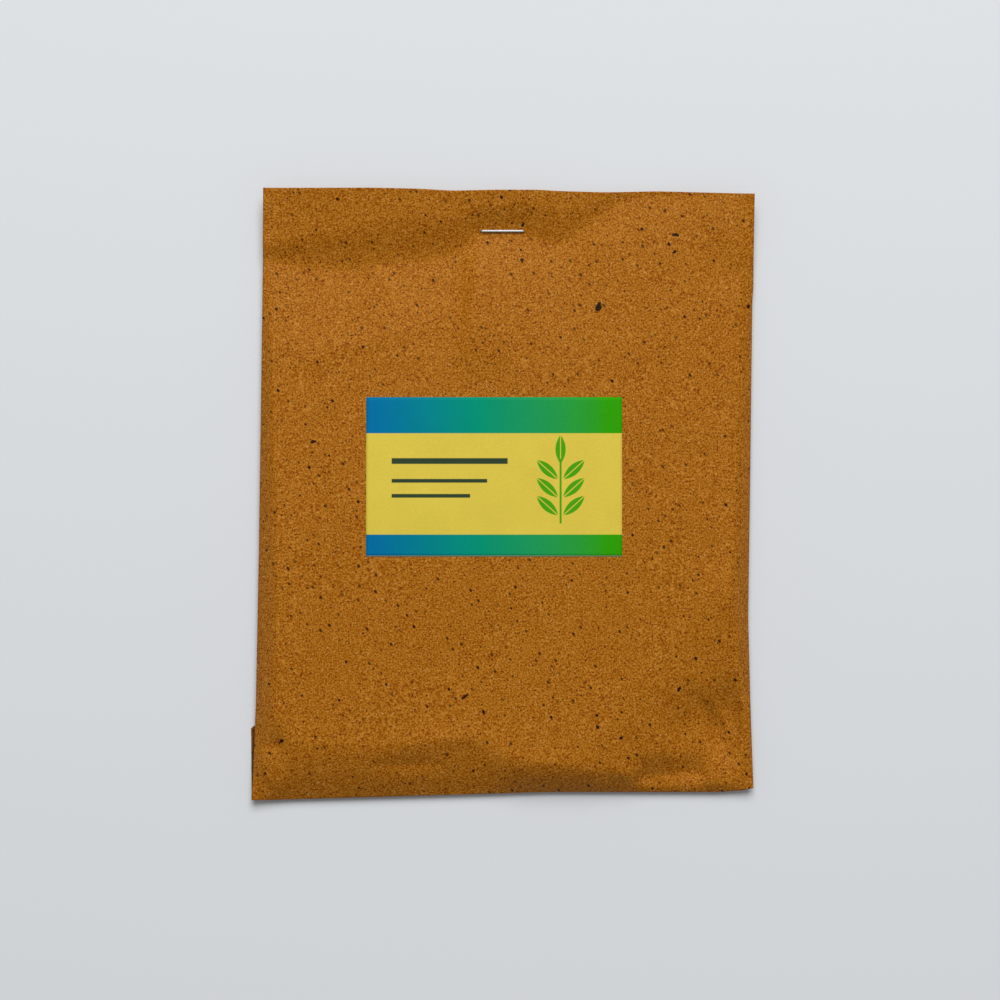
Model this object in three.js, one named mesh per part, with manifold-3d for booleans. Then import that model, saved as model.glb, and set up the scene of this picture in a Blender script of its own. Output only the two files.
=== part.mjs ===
// A flat kraft paper packet of dried bay leaves, lying on its back. The paper bag has its bottom
// end folded up behind and glued, and its mouth is pressed flat and closed by one staple.
// A paper label sits on the front, and the leaves lie in layers inside.
// Millimetres. X runs across the packet, Y up to its mouth, Z out of its front.

import * as THREE from 'three';
import { mergeGeometries, mergeVertices } from 'three/addons/utils/BufferGeometryUtils.js';
import Module from 'manifold-3d';

// Edges of the bag seen from the front: [y, x] down the sides, [x, y] along the ends
const LEFT_EDGE = [[90.2, -70.2], [-62, -72.6], [-90.2, -73.9]];
const RIGHT_EDGE = [[88.3, 74.4], [60, 74.1], [-36, 72.5], [-86.7, 74.1]];
const TOP_EDGE = [[-70.2, 90.2], [74.4, 88.3]];
const BOTTOM_EDGE = [[-73.9, -90.2], [14, -87.9], [64, -87.9], [74.1, -86.7]];
const SIDE_TO_SIDE = [-73.9, 74.4];

// Paper of the bag, and its mouth: two walls with a slit between them
const WALL = 0.4;
const MOUTH_SLIT = 0.5;
const PRESSED_FLAT = 2 * WALL + MOUTH_SLIT;

// Belly of the bag: how far the fill parts the panels, and how wide its rounded borders are.
// The lower border is wider in some places than in others, and both lower corners stay flat.
const BELLY = 5.8;
const SIDE_ROUND = 9;
const BOTTOM_ROUND = [[-74, 12], [-15, 17], [8, 9], [36, 9], [74, 15]];
const FLAT_CORNER = { left: 14, right: 24 };
const CORNER_ROUND = 12;

// The belly rises from the mouth line in a short slope and a long one
const MOUTH_LINE = [[-71, 70], [-45, 67], [-21, 70], [-6.5, 77], [6.5, 77], [15, 73.5], [32, 85], [74, 88.3]];
const SHORT_SLOPE = { reach: 30, share: 0.38 };
const LONG_SLOPE = { reach: 100, share: 0.62 };

// Above the mouth line both panels bend up, most at the left
const MARGIN_LIFT = [[-74, 1.2], [-45, 3], [-10, 2.7], [17, 1.6], [36, 0.2], [74, 0.1]];
const MARGIN_BEND = 11;

// Back of the bag: it lies flat in the middle and curls up towards its edges
const SIDE_CURL = { lift: 2, reach: 16 };
const MOUTH_CURL = { lift: 1.9, reach: 45 };
const BOTTOM_CURL = { lift: 1.6, reach: 45 };

// Bottom flap, folded up and glued behind; its left end sticks out past the bag
const FLAP_HEIGHT = 21;
const FLAP_LEFT = -74.4;
const FLAP_SLANT = 1.5;
const FLAP_RIGHT_INSET = 1.5;
const FLAP_SUNK = 0.2;

// Staple of rectangular wire, crown in front and legs bent inward behind
const STAPLE_AT = { x: 0.1, y: 77.8 };
const STAPLE_WIDTH = 12.95;
const STAPLE_WIRE = { wide: 0.7, thick: 0.5 };
const STAPLE_LEG_END = 5.2;
const STAPLE_BEND = 0.3;

// Label stuck on the front
const LABEL_AT = { x: -2.4, y: 5.2 };
const LABEL_SIZE = { wide: 75, high: 46.7 };
const LABEL_THICK = 0.4;

// Bay leaves in layers: three lengthwise in one layer, two at a slant in the next
const LAYERS = 4;
const LAYER_PITCH = 0.95;
const LEAF_THICK = 0.6;
const LEAF_MIDDLE_Y = -22;
const LEAF_LENGTH = [98, 108];
const LEAF_WIDTH = [33, 38];
const STALK_SHARE = 0.09;
const STALK_HALF = 0.9;
const LAYER_OF_THREE = { middles: [-43, 0, 43], tilt: 2 };
const LAYER_OF_TWO = { middles: [-25, 25], tilt: 7 };
const LEAF_WAVE = { height: 0.25, acrossLength: 34, alongLength: 52 };
const LEAF_SEED = 24;

// Columns and rows that the bag's faces are split into
const BAG_SPLIT = [26, 30];

// Clearance between neighbouring pieces, and how far a cutter runs past what it cuts
const GAP = 0.3;
const PAST = 2;

const wasm = await Module();
wasm.setup();

const mix = THREE.MathUtils.lerp;
const clamp01 = (value) => THREE.MathUtils.clamp(value, 0, 1);

// Reads a polyline of [at, value] pairs, listed either way along
function along(points, at) {
  const inOrder = points[0][0] < points.at(-1)[0] ? points : points.toReversed();
  const next = inOrder.findIndex(([start]) => start >= at);
  if (next === 0) return inOrder[0][1];
  if (next < 0) return inOrder.at(-1)[1];
  const [fromAt, fromValue] = inOrder[next - 1];
  const [toAt, toValue] = inOrder[next];
  return mix(fromValue, toValue, (at - fromAt) / (toAt - fromAt));
}

// Distances from a point of the bag to its four edges
function toEdges(x, y) {
  return {
    left: x - along(LEFT_EDGE, y),
    right: along(RIGHT_EDGE, y) - x,
    bottom: y - along(BOTTOM_EDGE, x),
    top: along(TOP_EDGE, x) - y,
  };
}

// Quarter round: 0 at the edge, 1 from the given distance on
function roundOff(distance, width) {
  const share = clamp01(distance / width);
  return Math.sqrt(1 - (1 - share) ** 2);
}

// Flatter bow: 0 at the edge, 1 from the given distance on
const bow = (distance, width) => 1 - (1 - clamp01(distance / width)) ** 2;

const curl = ({ lift, reach }, distance) => lift * (1 - clamp01(distance / reach)) ** 2;

// Underside of the bag
function backHeight(x, y) {
  const edge = toEdges(x, y);
  const aboveLine = y - along(MOUTH_LINE, x);
  const margin = along(MARGIN_LIFT, x) * THREE.MathUtils.smoothstep(aboveLine, 0, MARGIN_BEND);
  return margin + Math.hypot(
    curl(SIDE_CURL, edge.left),
    curl(SIDE_CURL, edge.right),
    curl(MOUTH_CURL, edge.top),
    curl(BOTTOM_CURL, edge.bottom),
  );
}

// Distance between the outer faces of the two panels; inset draws the rounded borders inward
function thickness(x, y, inset = 0) {
  const edge = toEdges(x, y);
  const sides = roundOff(edge.left - inset, SIDE_ROUND) * roundOff(edge.right - inset, SIDE_ROUND);
  const bottom = bow(edge.bottom - inset, along(BOTTOM_ROUND, x));
  const pastCorner = (side) => (edge[side] + edge.bottom - FLAT_CORNER[side]) / Math.SQRT2 - inset;
  const corners = bow(pastCorner('left'), CORNER_ROUND) * bow(pastCorner('right'), CORNER_ROUND);
  const belowLine = along(MOUTH_LINE, x) - y - inset;
  const slope = ({ reach, share }) => share * bow(belowLine, reach);
  return PRESSED_FLAT + BELLY * sides * bottom * corners * (slope(SHORT_SLOPE) + slope(LONG_SLOPE));
}

const frontHeight = (x, y) => backHeight(x, y) + thickness(x, y);

// Spreads even steps so that they are closer at both ends
const closerAtEnds = (share) => share - 0.12 * Math.sin(2 * Math.PI * share);

// Point of the bag's plan for shares across and up, drawn in from its edges by inset
function bagPlan(across, up, inset = 0) {
  const roughX = mix(...SIDE_TO_SIDE, across);
  const y = mix(along(BOTTOM_EDGE, roughX) + inset, along(TOP_EDGE, roughX), up);
  const x = mix(along(LEFT_EDGE, y) + inset, along(RIGHT_EDGE, y) - inset, across);
  return [x, y];
}

// A grid of triangles whose corners are placed by point(across, up)
function patch(columns, rows, point, turned) {
  const geometry = new THREE.PlaneGeometry(1, 1, columns, rows);
  const corners = geometry.attributes.position;
  for (let i = 0; i < corners.count; i++) {
    corners.setXYZ(i, ...point(corners.getX(i) + 0.5, corners.getY(i) + 0.5));
  }
  if (turned) geometry.setIndex([...geometry.index.array].reverse());
  return geometry;
}

// Closed solid between two faces given as functions of (across, up), split alike on both
function sheetSolid(columns, rows, front, back) {
  const wall = (atEdge) => (share, depth) => {
    const place = atEdge(share);
    return new THREE.Vector3(...back(...place)).lerp(new THREE.Vector3(...front(...place)), depth);
  };
  const rim = [
    patch(columns, 1, wall((share) => [share, 0]), false),
    patch(columns, 1, wall((share) => [share, 1]), true),
    patch(rows, 1, wall((share) => [0, share]), true),
    patch(rows, 1, wall((share) => [1, share]), false),
  ];
  const faces = [patch(columns, rows, front, false), patch(columns, rows, back, true)];
  return bare(mergeGeometries([...faces, ...rim]));
}

// Keeps only positions, with shared corners merged
function bare(geometry) {
  geometry.deleteAttribute('normal');
  geometry.deleteAttribute('uv');
  return mergeVertices(geometry, 1e-4);
}

function toSolid(geometry) {
  const closed = bare(geometry);
  return new wasm.Manifold(new wasm.Mesh({
    numProp: 3,
    vertProperties: new Float32Array(closed.attributes.position.array),
    triVerts: new Uint32Array(closed.index.array),
  }));
}

function toGeometry(solid) {
  const { vertProperties, triVerts } = solid.getMesh();
  const geometry = new THREE.BufferGeometry();
  geometry.setAttribute('position', new THREE.BufferAttribute(vertProperties, 3));
  geometry.setIndex(new THREE.BufferAttribute(triVerts, 1));
  geometry.computeVertexNormals();
  return geometry;
}

function namedMesh(name, geometry, color, roughness, metalness = 0) {
  const mesh = new THREE.Mesh(geometry, new THREE.MeshStandardMaterial({ color, roughness, metalness }));
  mesh.name = name;
  return mesh;
}

// Outer body of the bag, before it is hollowed
function bagBody() {
  const place = (height) => (across, up) => {
    const [x, y] = bagPlan(closerAtEnds(across), closerAtEnds(up));
    return [x, y, height(x, y)];
  };
  return toSolid(sheetSolid(...BAG_SPLIT, place(frontHeight), place(backHeight)));
}

// Space inside the bag, its last row of corners out past the mouth
function bagHollow() {
  const place = (height) => (across, up) => {
    const [x, edgeY] = bagPlan(closerAtEnds(across), closerAtEnds(up), WALL);
    const y = up < 1 ? edgeY : edgeY + PAST;
    return [x, y, height(x, y)];
  };
  const ceiling = (x, y) => backHeight(x, y) + thickness(x, y, WALL) - WALL;
  const floor = (x, y) => backHeight(x, y) + WALL;
  return toSolid(sheetSolid(...BAG_SPLIT, place(ceiling), place(floor)));
}

// Bottom flap behind the bag, its upper edge cut on a slant at the left
function bagFlap() {
  const plan = (across, up) => {
    const [roughX, bottomY] = bagPlan(across, 0);
    const topY = bottomY + FLAP_HEIGHT - FLAP_SLANT * (1 - clamp01(10 * across));
    const y = mix(bottomY, topY, up);
    const rightX = along(RIGHT_EDGE, y) - FLAP_RIGHT_INSET;
    const leftX = mix(along(LEFT_EDGE, bottomY), FLAP_LEFT, clamp01(4 * up));
    return [mix(leftX, rightX, (roughX - SIDE_TO_SIDE[0]) / (SIDE_TO_SIDE[1] - SIDE_TO_SIDE[0])), y];
  };
  const place = (offset) => (across, up) => {
    const [x, y] = plan(closerAtEnds(across), up);
    return [x, y, backHeight(x, y) + offset];
  };
  return toSolid(sheetSolid(20, 5, place(FLAP_SUNK), place(-WALL)));
}

// Holes that the staple's legs pass through
function stapleHoles() {
  const across = STAPLE_WIRE.thick + 2 * GAP;
  const up = STAPLE_WIRE.wide + 2 * GAP;
  const legOffset = (STAPLE_WIDTH - STAPLE_WIRE.thick) / 2;
  return [-legOffset, legOffset].map((offset) => {
    const hole = new THREE.BoxGeometry(across, up, 4 * BELLY);
    return toSolid(hole.translate(STAPLE_AT.x + offset, STAPLE_AT.y, 0));
  });
}

function paperBag() {
  let bag = bagBody().subtract(bagHollow()).add(bagFlap());
  for (const hole of stapleHoles()) bag = bag.subtract(hole);
  return namedMesh('paper_bag', toGeometry(bag), 0x9c601d, 0.85);
}

function label() {
  const place = (lift) => (across, up) => {
    const x = LABEL_AT.x + (across - 0.5) * LABEL_SIZE.wide;
    const y = LABEL_AT.y + (up - 0.5) * LABEL_SIZE.high;
    return [x, y, frontHeight(x, y) + lift];
  };
  return namedMesh('label', sheetSolid(4, 3, place(GAP + LABEL_THICK), place(GAP)), 0xdecd50, 0.7);
}

// Side view of the staple: a flat C, open in the middle of its underside
function staple() {
  const half = STAPLE_WIDTH / 2;
  const inner = half - STAPLE_WIRE.thick;
  const paperLow = backHeight(STAPLE_AT.x, STAPLE_AT.y) - GAP;
  const paperHigh = frontHeight(STAPLE_AT.x, STAPLE_AT.y) + GAP;
  const low = paperLow - STAPLE_WIRE.thick;
  const high = paperHigh + STAPLE_WIRE.thick;
  const legEnd = half - STAPLE_LEG_END;
  const outline = new THREE.Shape();
  outline.moveTo(-legEnd, low);
  outline.lineTo(-legEnd, paperLow);
  outline.lineTo(-inner, paperLow);
  outline.lineTo(-inner, paperHigh);
  outline.lineTo(inner, paperHigh);
  outline.lineTo(inner, paperLow);
  outline.lineTo(legEnd, paperLow);
  outline.lineTo(legEnd, low);
  outline.lineTo(half - STAPLE_BEND, low);
  outline.quadraticCurveTo(half, low, half, low + STAPLE_BEND);
  outline.lineTo(half, high - STAPLE_BEND);
  outline.quadraticCurveTo(half, high, half - STAPLE_BEND, high);
  outline.lineTo(STAPLE_BEND - half, high);
  outline.quadraticCurveTo(-half, high, -half, high - STAPLE_BEND);
  outline.lineTo(-half, low + STAPLE_BEND);
  outline.quadraticCurveTo(-half, low, STAPLE_BEND - half, low);
  outline.closePath();
  const wire = new THREE.ExtrudeGeometry(outline, {
    depth: STAPLE_WIRE.wide,
    bevelEnabled: false,
    curveSegments: 4,
  });
  const mesh = namedMesh('staple', wire, 0xc9c9cc, 0.3, 1);
  mesh.rotation.x = Math.PI / 2;
  mesh.position.set(STAPLE_AT.x, STAPLE_AT.y + STAPLE_WIRE.wide / 2, 0);
  return mesh;
}

// Half width of a leaf along its length: a stalk, then a lance-shaped blade with a long tip
function leafHalfWidth(share, width) {
  if (share <= STALK_SHARE) return STALK_HALF;
  const alongBlade = (share - STALK_SHARE) / (1 - STALK_SHARE);
  const blade = Math.sin(Math.PI * alongBlade ** 0.85) ** 0.9;
  return Math.max(STALK_HALF, (width / 2) * blade);
}

// One leaf, laid on the back panel at its layer's height and waved with its neighbours
function leafGeometry({ middleX, tilt, length, width, flipped, layer }) {
  const place = (lift) => (across, up) => {
    const aside = (2 * across - 1) * leafHalfWidth(up, width);
    const upward = (up - 0.5) * length;
    const turn = tilt + (flipped ? Math.PI : 0);
    const x = middleX + aside * Math.cos(turn) - upward * Math.sin(turn);
    const y = LEAF_MIDDLE_Y + aside * Math.sin(turn) + upward * Math.cos(turn);
    const wave = LEAF_WAVE.height * (1 + Math.sin(x / LEAF_WAVE.acrossLength * 2 * Math.PI)
      * Math.cos(y / LEAF_WAVE.alongLength * 2 * Math.PI));
    return [x, y, backHeight(x, y) + WALL + GAP + layer * LAYER_PITCH + wave + lift];
  };
  return sheetSolid(4, 14, place(LEAF_THICK), place(0));
}

function bayLeaves() {
  const contents = new THREE.Group();
  const random = THREE.MathUtils.seededRandom;
  random(LEAF_SEED);
  for (let layer = 0; layer < LAYERS; layer++) {
    const pattern = layer % 2 ? LAYER_OF_TWO : LAYER_OF_THREE;
    const lean = THREE.MathUtils.degToRad(pattern.tilt) * (random() < 0.5 ? -1 : 1);
    for (const middleX of pattern.middles) {
      const geometry = leafGeometry({
        middleX,
        tilt: lean * mix(0.6, 1, random()),
        length: mix(...LEAF_LENGTH, random()),
        width: mix(...LEAF_WIDTH, random()),
        flipped: random() < 0.5,
        layer,
      });
      const number = String(contents.children.length + 1).padStart(2, '0');
      contents.add(namedMesh(`bay_leaf_${number}`, geometry, 0x7d7a48, 0.6));
    }
  }
  return contents;
}

const packet = new THREE.Group();
packet.add(paperBag(), label(), staple(), bayLeaves());

export default packet;
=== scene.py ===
"""Looks of a flat kraft paper packet of bay leaves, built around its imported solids.

Shapes are worked out in millimetres in the solids' own frame: X runs across the packet, Y up
to its stapled mouth, Z out of its front. Each finished mesh is then scaled to metres.
"""

import logging
import math
from dataclasses import dataclass, field
from enum import Enum
from typing import Any, Callable, Mapping, Optional, Union

import bmesh
import bpy
import numpy as np
from mathutils import Matrix, Vector


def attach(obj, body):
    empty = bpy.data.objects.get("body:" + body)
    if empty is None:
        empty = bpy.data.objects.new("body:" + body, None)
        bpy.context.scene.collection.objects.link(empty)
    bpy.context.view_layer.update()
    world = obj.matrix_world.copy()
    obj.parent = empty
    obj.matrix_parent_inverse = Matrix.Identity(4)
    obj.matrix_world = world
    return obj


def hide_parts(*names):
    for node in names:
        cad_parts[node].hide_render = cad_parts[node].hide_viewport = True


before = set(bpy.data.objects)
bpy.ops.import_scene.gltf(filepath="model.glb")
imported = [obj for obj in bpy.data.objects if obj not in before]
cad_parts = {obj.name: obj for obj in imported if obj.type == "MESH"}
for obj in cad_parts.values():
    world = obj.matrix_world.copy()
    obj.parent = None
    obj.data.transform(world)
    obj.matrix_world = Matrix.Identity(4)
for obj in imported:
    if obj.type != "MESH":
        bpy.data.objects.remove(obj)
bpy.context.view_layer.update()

MM = 0.001
SOFT_READINGS = 7
MERGE_DISTANCE = 1e-4
NEAR_BLACK = (0.004, 0.002, 0.001)
log = logging.getLogger("packet")

Grid = np.ndarray
Colour = tuple[float, float, float]
Triple = tuple[float, float, float]
Point = tuple[float, float]


class Slot(Enum):
    """Material slots of the finishes."""

    KRAFT = "kraft_paper"
    LABEL = "label_paper"
    STEEL = "staple_wire"
    LEAF = "dried_leaf"


class Face(Enum):
    """Parts of the folded paper blank."""

    FRONT = "front"
    BACK_LEFT = "back_left"
    BACK_RIGHT = "back_right"
    FLAP = "flap"


# Shapes of slopes and borders


def clamp01(value: Grid) -> Grid:
    """Limits values to the range from 0 to 1."""
    return np.clip(value, 0.0, 1.0)


def smooth(share: Grid) -> Grid:
    """Eases from 0 to 1 with level ends."""
    share = clamp01(share)
    return share * share * (3.0 - 2.0 * share)


def bow(distance: Grid, width: Union[float, Grid], power: float = 2.0) -> Grid:
    """Rises from 0 at an edge to 1 at the given distance, steepest at the edge.

    Args:
        distance: Distance in from the edge.
        width: Distance at which the rise ends.
        power: How much steeper the rise is at the edge; 1 is a straight slope.

    Returns:
        The share of the full height.
    """
    return 1.0 - (1.0 - clamp01(distance / width)) ** power


def soft_min(first: Grid, second: Grid, blend: float) -> Grid:
    """Takes the lower of two surfaces with a rounded join.

    Args:
        first: Heights of one surface.
        second: Heights of the other.
        blend: Height difference over which the join is rounded.

    Returns:
        The joined heights.
    """
    share = clamp01(0.5 + 0.5 * (second - first) / blend)
    return second + (first - second) * share - blend * share * (1.0 - share)


@dataclass(frozen=True)
class Run:
    """A value along one direction, on straight lines between points in rising order."""

    points: tuple[Point, ...]
    soft: float = 0.0

    def at(self, where: Grid) -> Grid:
        """Reads the value, averaged over the soft distance to either side.

        Args:
            where: Places along the direction.

        Returns:
            The values there.
        """
        places, values = zip(*self.points)
        offsets = np.linspace(-self.soft, self.soft, SOFT_READINGS) if self.soft else (0.0,)
        return sum(np.interp(where + offset, places, values) for offset in offsets) / len(offsets)


@dataclass(frozen=True)
class Crease:
    """A straight fold in the paper: a sharp or soft line whose flanks fall away to both sides.

    The rise is given at its start and end, the flanks to its left and right; it fades out at the ends.
    """

    start: Point
    end: Point
    rise: Point
    flanks: Point
    fade: float = 5.0
    soft: bool = False

    def height(self, x: Grid, y: Grid) -> Grid:
        """Gives how far the fold lifts the paper.

        Args:
            x: Places across the packet.
            y: Places up the packet.

        Returns:
            The lift, negative where the fold is a valley.
        """
        reach = np.subtract(self.end, self.start)
        length = math.hypot(*reach)
        ahead = (reach[0] * (x - self.start[0]) + reach[1] * (y - self.start[1])) / length
        aside = (reach[0] * (y - self.start[1]) - reach[1] * (x - self.start[0])) / length
        near = clamp01(1.0 - np.abs(aside) / np.where(aside > 0, *self.flanks))
        profile = smooth(near) if self.soft else near * (0.5 + 0.5 * near)
        half = self.fade / 2.0
        ends = smooth((ahead + half) / self.fade) * smooth((length + half - ahead) / self.fade)
        return np.interp(ahead / length, (0.0, 1.0), self.rise) * profile * ends


@dataclass(frozen=True)
class Outline:
    """Edges of the packet as seen from the front."""

    left: Run = Run(((-90.2, -73.9), (-62.0, -72.7), (-16.0, -71.8), (88.5, -70.3)))
    right: Run = Run(
        ((-86.7, 74.1), (-60.7, 73.2), (-36.0, 72.6), (7.0, 73.2), (57.0, 73.8), (61.0, 74.1), (88.3, 74.2))
    )
    top: Run = Run(
        ((-70.3, 90.2), (-39.0, 90.2), (-25.0, 89.9), (-16.0, 89.35), (-4.0, 89.65), (10.0, 89.65),
         (16.0, 89.3), (30.0, 89.05), (45.0, 89.35), (56.0, 89.0), (74.1, 88.4)),
        soft=2.0,
    )
    bottom: Run = Run(
        ((-73.9, -90.2), (-66.0, -90.2), (14.0, -87.9), (63.7, -87.9), (70.8, -87.3), (74.1, -86.6))
    )


@dataclass(frozen=True)
class Relief:
    """Heights of the packet's two panels above what it lies on."""

    outline: Outline = Outline()

    # Belly between the panels; by its share, each side is a steep border rather than a gentle dome
    belly: float = 7.7
    left_round: Run = Run(((-90.0, 7.0), (-35.0, 6.8), (0.0, 5.5), (30.0, 4.0), (60.0, 3.0)), soft=8.0)
    left_share: Run = Run(((-90.0, 0.97), (-35.0, 0.97), (0.0, 0.75), (40.0, 0.6)), soft=8.0)
    right_round: Run = Run(((-90.0, 7.0), (-60.0, 6.3), (-28.0, 6.3), (0.0, 4.5), (70.0, 4.0)), soft=8.0)
    right_share: Run = Run(((-60.0, 0.95), (-28.0, 0.95), (-5.0, 0.6), (40.0, 0.5)), soft=6.0)
    side_power: float = 1.3
    dome_reach: float = 34.0

    # Slope up from the lower end, and the flattened lower corners, left and right
    bottom_round: Run = Run(
        ((-74.0, 14.0), (-64.0, 17.0), (-50.0, 17.5), (-42.0, 16.0), (-30.0, 17.0), (-18.0, 19.5),
         (-9.0, 19.5), (-2.0, 14.5), (6.0, 10.5), (25.0, 9.5), (34.0, 10.5), (45.0, 13.0), (74.0, 16.0)),
        soft=3.0,
    )
    bottom_power: float = 1.55
    corner_start: float = 0.4
    corner_slope: Point = (0.24, 0.115)
    corner_blend: float = 0.8

    # Line below which the mouth opens to the belly, and two slopes, as reach and share of the height
    mouth_line: Run = Run(
        ((-71.0, 69.0), (-60.0, 67.7), (-45.0, 66.2), (-36.0, 67.6), (-21.0, 68.9), (-12.5, 72.0),
         (-6.5, 77.0), (6.4, 77.0), (12.6, 73.7), (17.0, 73.4), (21.5, 75.2), (26.0, 79.6), (32.4, 85.0),
         (40.0, 88.0), (74.0, 88.4)),
        soft=2.0,
    )
    short_slope: Point = (30.0, 0.38)
    long_slope: Point = (100.0, 0.62)

    # Margin above the mouth line, which bends up with both panels
    margin_lift: Run = Run(
        ((-74.0, 1.0), (-62.0, 1.8), (-45.0, 2.3), (-30.0, 2.4), (-10.0, 2.2), (8.0, 2.2), (17.0, 1.5),
         (28.0, 0.7), (36.0, 0.2), (74.0, 0.1)),
        soft=3.0,
    )
    margin_bend: Run = Run(
        ((-71.0, 5.0), (-60.0, 9.0), (-45.0, 13.0), (-30.0, 15.0), (-10.0, 11.0), (0.0, 9.0),
         (15.0, 12.0), (26.0, 7.0), (32.0, 4.0)),
        soft=3.0,
    )

    # Curl of the back panel towards its edges, as lift and reach
    left_curl: Point = (2.2, 20.0)
    right_curl: Point = (2.2, 20.0)
    mouth_curl: Point = (2.4, 45.0)
    bottom_curl: Point = (1.4, 42.0)

    # Distance between the outer faces where the panels lie on each other, and how the mouth opens
    pressed: float = 0.45
    mouth_gap: Run = Run(
        ((-74.0, 0.5), (-40.0, 0.3), (0.0, 0.0), (40.0, 0.5), (60.0, 1.6), (74.0, 2.2)), soft=6.0
    )
    mouth_reach: float = 24.0

    # Slow unevenness of the paper: wavelength and height
    waves: tuple[Point, ...] = ((46.0, 0.12), (27.0, 0.07), (15.0, 0.035), (9.0, 0.014))
    wave_directions: int = 4
    wave_seed: int = 7

    # Folds, which fade out towards the packet's edges
    edge_fade: float = 6.0
    creases: tuple[Crease, ...] = (
        # below the staple, and from it to the top edge
        Crease((-8.0, 70.0), (-10.0, 38.0), (1.6, 1.8), (20.0, 4.4), fade=12.0),
        Crease((-0.7, 86.1), (10.0, 77.2), (-0.5, -0.7), (5.0, 5.0)),
        # at the upper left
        Crease((-41.4, 68.1), (-30.5, 58.3), (0.5, 0.35), (4.0, 3.0)),
        Crease((-61.2, 39.1), (-36.1, 46.2), (0.35, 0.5), (6.0, 5.0)),
        Crease((-36.1, 46.2), (-17.8, 52.4), (0.5, 0.3), (6.0, 4.0)),
        Crease((-57.4, 21.4), (-42.9, 35.6), (0.35, 0.3), (6.0, 4.0)),
        # at the upper right corner
        Crease((57.5, 87.9), (72.6, 66.9), (0.1, 0.4), (6.0, 5.0)),
        # along the right edge and in the lower right corner
        Crease((66.5, -40.5), (75.0, -38.5), (-0.4, -1.0), (9.0, 3.0)),
        Crease((49.0, -71.5), (62.0, -64.5), (-1.0, -2.9), (14.0, 20.0), soft=True),
        Crease((62.0, -64.5), (76.0, -64.0), (-2.9, -2.7), (14.0, 20.0), soft=True),
        Crease((40.0, -84.0), (59.0, -83.4), (-2.8, -2.6), (9.0, 8.0), soft=True),
        Crease((28.3, -80.8), (40.7, -89.7), (-0.6, -0.4), (3.0, 5.0)),
        # in the lower left corner
        Crease((-74.5, -74.9), (-64.5, -73.2), (-2.0, -1.2), (10.0, 5.0)),
        Crease((-73.3, -83.2), (-66.2, -88.8), (-0.6, -0.4), (3.0, 3.0)),
        # along the lower end of the belly
        Crease((-30.8, -73.7), (-6.0, -70.5), (0.6, 0.7), (6.0, 5.0)),
        Crease((-37.3, -79.6), (-18.4, -79.0), (-0.6, -0.5), (4.0, 4.0)),
    )

    @staticmethod
    def curl(shape: Point, distance: Grid) -> Grid:
        """Lifts an edge: highest at the edge, nothing beyond the reach."""
        lift, reach = shape
        return lift * (1.0 - clamp01(distance / reach)) ** 2

    def edges(self, x: Grid, y: Grid) -> tuple[Grid, Grid, Grid, Grid]:
        """Measures to the left, right, bottom and top edges.

        Args:
            x: Places across the packet.
            y: Places up the packet.

        Returns:
            The four distances, positive inside.
        """
        return (
            x - self.outline.left.at(y),
            self.outline.right.at(y) - x,
            y - self.outline.bottom.at(x),
            self.outline.top.at(x) - y,
        )

    def margin(self, x: Grid, y: Grid) -> Grid:
        """Gives how far both panels bend up above the mouth line."""
        above = y - self.mouth_line.at(x)
        return self.margin_lift.at(x) * smooth(above / self.margin_bend.at(x))

    def back(self, x: Grid, y: Grid) -> Grid:
        """Gives the height of the back panel's outer face.

        Args:
            x: Places across the packet.
            y: Places up the packet.

        Returns:
            Heights from 0, where the packet rests.
        """
        left, right, bottom, top = self.edges(x, y)
        sides = np.hypot(self.curl(self.left_curl, left), self.curl(self.right_curl, right))
        ends = np.hypot(self.curl(self.mouth_curl, top), self.curl(self.bottom_curl, bottom))
        return self.margin(x, y) + np.hypot(sides, ends)

    def unevenness(self, x: Grid, y: Grid) -> Grid:
        """Adds up slow waves in seeded directions.

        Args:
            x: Places across the packet.
            y: Places up the packet.

        Returns:
            Heights about 0.
        """
        random = np.random.default_rng(self.wave_seed)
        total = np.zeros_like(x)
        for length, height in self.waves:
            for _ in range(self.wave_directions):
                turn, phase = random.uniform(0.0, math.tau, 2)
                ahead = (x * math.cos(turn) + y * math.sin(turn)) * math.tau / length
                total += height * np.sin(ahead + phase) / math.sqrt(self.wave_directions)
        return total

    def parted(self, x: Grid, y: Grid) -> Grid:
        """Gives how far the fill parts the panels, without creases.

        Args:
            x: Places across the packet.
            y: Places up the packet.

        Returns:
            Heights of the belly, 0 at the edges and above the mouth line.
        """
        left, right, bottom, _ = self.edges(x, y)
        borders = ((left, self.left_round, self.left_share), (right, self.right_round, self.right_share))
        sides = np.ones_like(x)
        for distance, border, share in borders:
            steep = bow(distance, border.at(y), self.side_power)
            gentle = bow(distance, self.dome_reach)
            sides *= gentle + (steep - gentle) * share.at(y)
        low = bow(bottom, self.bottom_round.at(x), self.bottom_power)
        below = self.mouth_line.at(x) - y
        slopes = sum(share * bow(below, reach) for reach, share in (self.short_slope, self.long_slope))
        height = self.belly * sides * low * slopes
        for side, slope in zip((left, right), self.corner_slope):
            cap = self.corner_start + slope * (side + bottom)
            height = soft_min(height, cap, self.corner_blend)
        return np.maximum(height, 0.0)

    def front(self, x: Grid, y: Grid) -> Grid:
        """Gives the height of the front panel's outer face.

        Args:
            x: Places across the packet.
            y: Places up the packet.

        Returns:
            Heights above what the packet rests on.
        """
        left, right, bottom, top = self.edges(x, y)
        nearest = np.minimum(np.minimum(left, right), np.minimum(bottom, top))
        folds = sum(crease.height(x, y) for crease in self.creases) + self.unevenness(x, y)
        inside = smooth(nearest / self.edge_fade)
        opened = self.mouth_gap.at(x) * clamp01(1.0 - top / self.mouth_reach)
        lowest = self.back(x, y) + self.pressed
        return np.maximum(lowest, lowest + opened + self.parted(x, y) + folds * inside)


# Shader maths


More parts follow.
